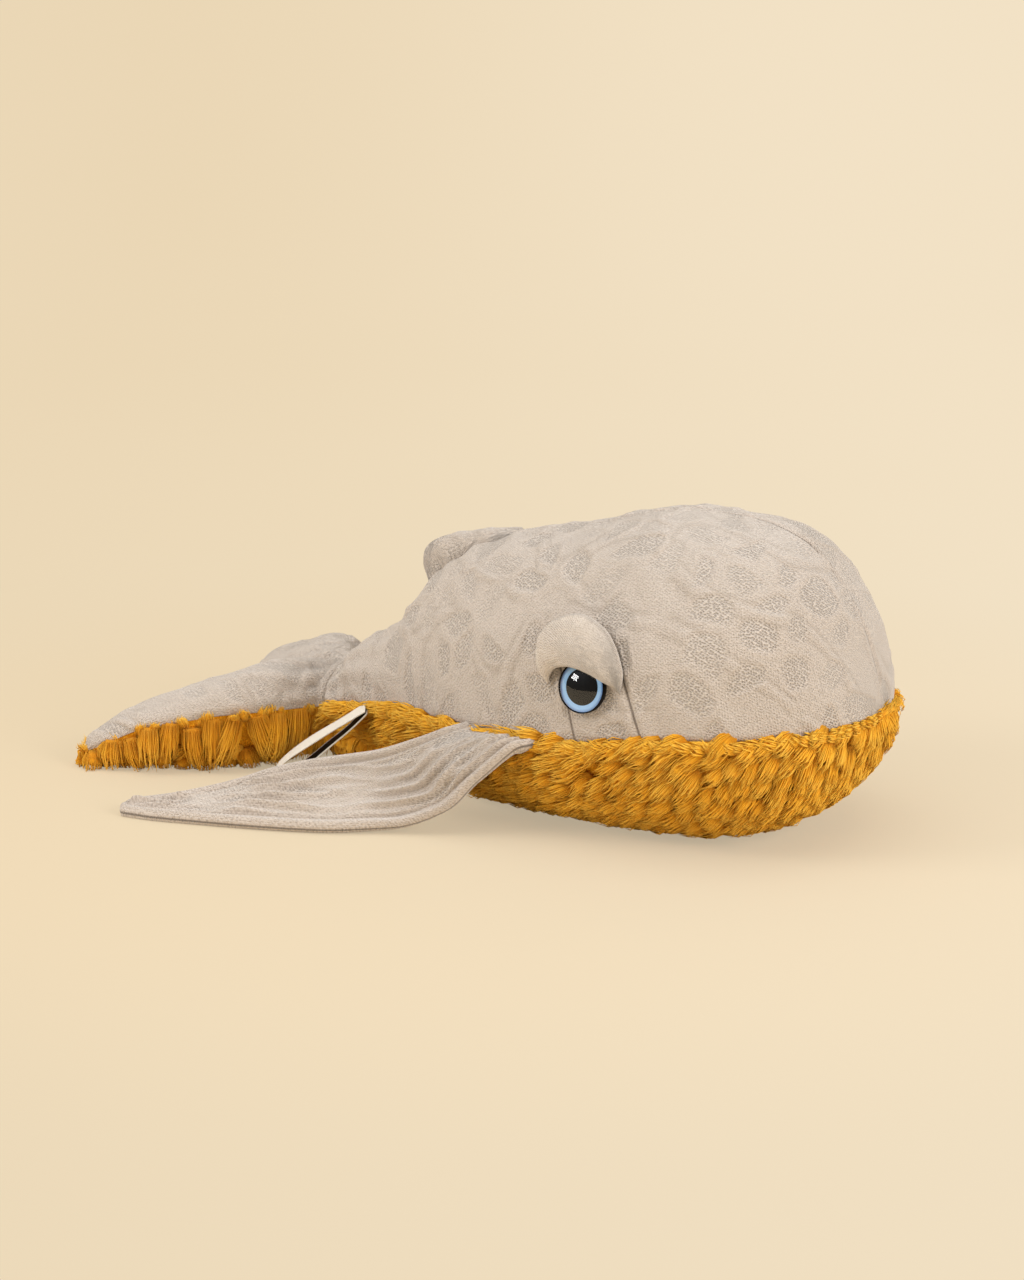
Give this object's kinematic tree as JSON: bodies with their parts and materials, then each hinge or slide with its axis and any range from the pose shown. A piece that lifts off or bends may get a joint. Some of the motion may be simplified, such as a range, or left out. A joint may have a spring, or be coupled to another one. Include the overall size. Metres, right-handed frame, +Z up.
{
  "type": "plush_whale",
  "caption": "Stuffed toy whale with a grey jacquard knit back, mustard tufted fur belly, glossy blue eyes under puffy lids, long side fins and a bending two-lobed tail",
  "frame": {"origin": "on the surface the toy lies on, under the middle of its overall length and width", "axes": "+X points from the tail to the nose, +Y to the whale's left, +Z up"},
  "size_m": [0.41, 0.294, 0.1553],
  "materials": {
    "knit": "soft jacquard knit",
    "jersey": "plain jersey",
    "fur": "tufted faux fur",
    "stuffing": "loose polyester fibre",
    "iris": "painted under clear plastic",
    "black_plastic": "glossy",
    "white_plastic": "moulded",
    "lens": "clear, polished",
    "ribbon": "woven tape"
  },
  "bodies": {
    "body": {"belly_panel": "fur", "body_stuffing": "stuffing", "back_panel_right": "knit", "back_panel_left": "knit", "cheek_panel_right": "knit", "cheek_panel_left": "knit", "dorsal_fin_cover": "knit", "dorsal_fin_stuffing": "stuffing", "eyelid_right_cover": "jersey", "eyelid_right_pad": "stuffing", "eyelid_left_cover": "jersey", "eyelid_left_pad": "stuffing", "eye_right_lens": "lens", "eye_right_iris": "iris", "eye_right_pupil": "black_plastic", "eye_right_backing": "black_plastic", "eye_right_washer": "white_plastic", "eye_left_lens": "lens", "eye_left_iris": "iris", "eye_left_pupil": "black_plastic", "eye_left_backing": "black_plastic", "eye_left_washer": "white_plastic"},
    "tail": {"fluke_cover": "knit", "fluke_underside": "fur", "fluke_stuffing": "stuffing"},
    "fin_right": {"pectoral_fin_right_top": "knit", "pectoral_fin_right_under": "knit"},
    "fin_left": {"pectoral_fin_left_top": "knit", "pectoral_fin_left_under": "knit"},
    "ribbon": {"ribbon_loop": "ribbon"}
  },
  "joints": [
    {"name": "tail_bend", "type": "hinge", "parent": "body", "child": "tail", "pos_m": [-0.097, 0, 0.034], "axis": [0, 1, 0], "range_deg": [-8, 30]},
    {"name": "fin_right_flap", "type": "hinge", "parent": "body", "child": "fin_right", "pos_m": [0.04, -0.07615, 0.0505], "axis": [-0.9787, 0.2042, -0.02], "range_deg": [0, 80]},
    {"name": "fin_left_flap", "type": "hinge", "parent": "body", "child": "fin_left", "pos_m": [0.04, 0.07615, 0.0505], "axis": [0.9787, 0.2042, 0.02], "range_deg": [0, 80]},
    {"name": "ribbon_flip", "type": "hinge", "parent": "body", "child": "ribbon", "pos_m": [-0.0614, -0.0367, 0.0437], "axis": [-0.6369, 0, 0.771], "range_deg": [0, 90]}
  ]
}
